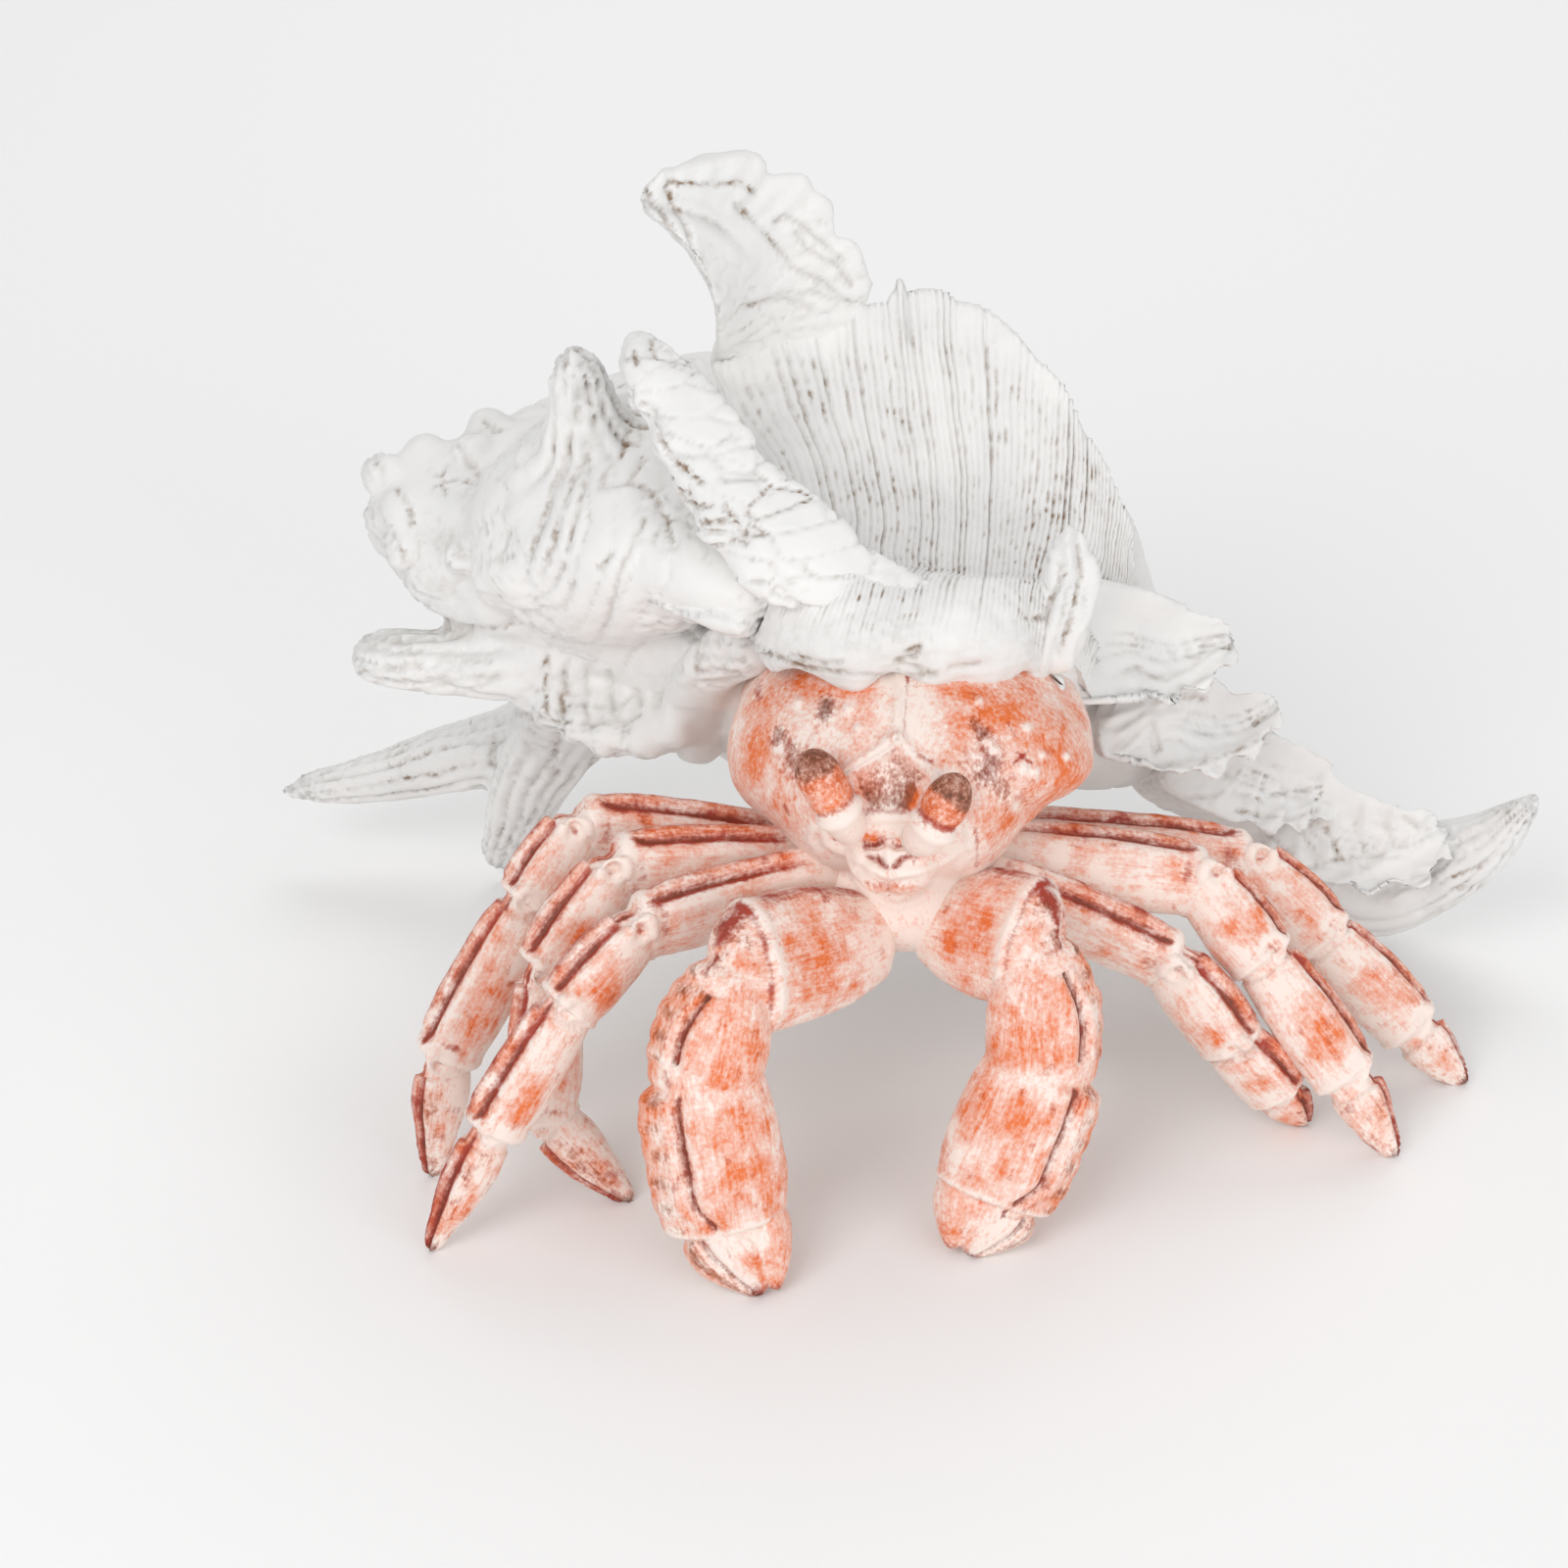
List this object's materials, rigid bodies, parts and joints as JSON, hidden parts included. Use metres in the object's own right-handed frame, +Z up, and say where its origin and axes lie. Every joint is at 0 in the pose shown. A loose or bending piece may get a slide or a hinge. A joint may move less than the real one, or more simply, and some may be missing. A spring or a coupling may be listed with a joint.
{
  "type": "hermit crab figurine",
  "caption": "Painted cast resin hermit crab standing under a whitewashed spiny sea shell, a free-standing ornament.",
  "frame": {"origin": "on the surface that it stands on, under the middle of the box around the object", "axes": "+Z up, -Y the way the crab faces, +X to the right as seen from in front, towards the shell's tail"},
  "size_m": [0.2222, 0.188, 0.16],
  "materials": {
    "painted_crab_resin": "hand-painted cast resin, pale pink ground with dry-brushed orange and dark red, satin",
    "whitewashed_shell_resin": "whitewashed cast resin with a brown wash left in the cracks, matte",
    "steel_wire": "drawn wire"
  },
  "bodies": {
    "root": {"crab_body": "painted_crab_resin", "left_eye": "painted_crab_resin", "right_eye": "painted_crab_resin", "mouthparts": "painted_crab_resin", "left_claw": "painted_crab_resin", "right_claw": "painted_crab_resin", "left_front_leg": "painted_crab_resin", "left_middle_leg": "painted_crab_resin", "left_rear_leg": "painted_crab_resin", "right_front_leg": "painted_crab_resin", "right_middle_leg": "painted_crab_resin", "right_rear_leg": "painted_crab_resin", "shell_body": "whitewashed_shell_resin", "shell_fan": "whitewashed_shell_resin", "shell_lip": "whitewashed_shell_resin", "lip_rib": "whitewashed_shell_resin", "lip_spine": "whitewashed_shell_resin", "shoulder_spine": "whitewashed_shell_resin", "crown_spine": "whitewashed_shell_resin", "left_side_spine": "whitewashed_shell_resin", "left_rear_spine": "whitewashed_shell_resin", "left_foot_spine": "whitewashed_shell_resin", "rear_spine": "whitewashed_shell_resin", "rear_foot_spine": "whitewashed_shell_resin", "siphon_canal": "whitewashed_shell_resin", "canal_frond_upper": "whitewashed_shell_resin", "canal_frond_middle": "whitewashed_shell_resin", "canal_frond_lower": "whitewashed_shell_resin", "canal_frond_end": "whitewashed_shell_resin", "limb_pins": "steel_wire", "eye_pins": "steel_wire", "spine_pins": "steel_wire"}
  },
  "joints": []
}
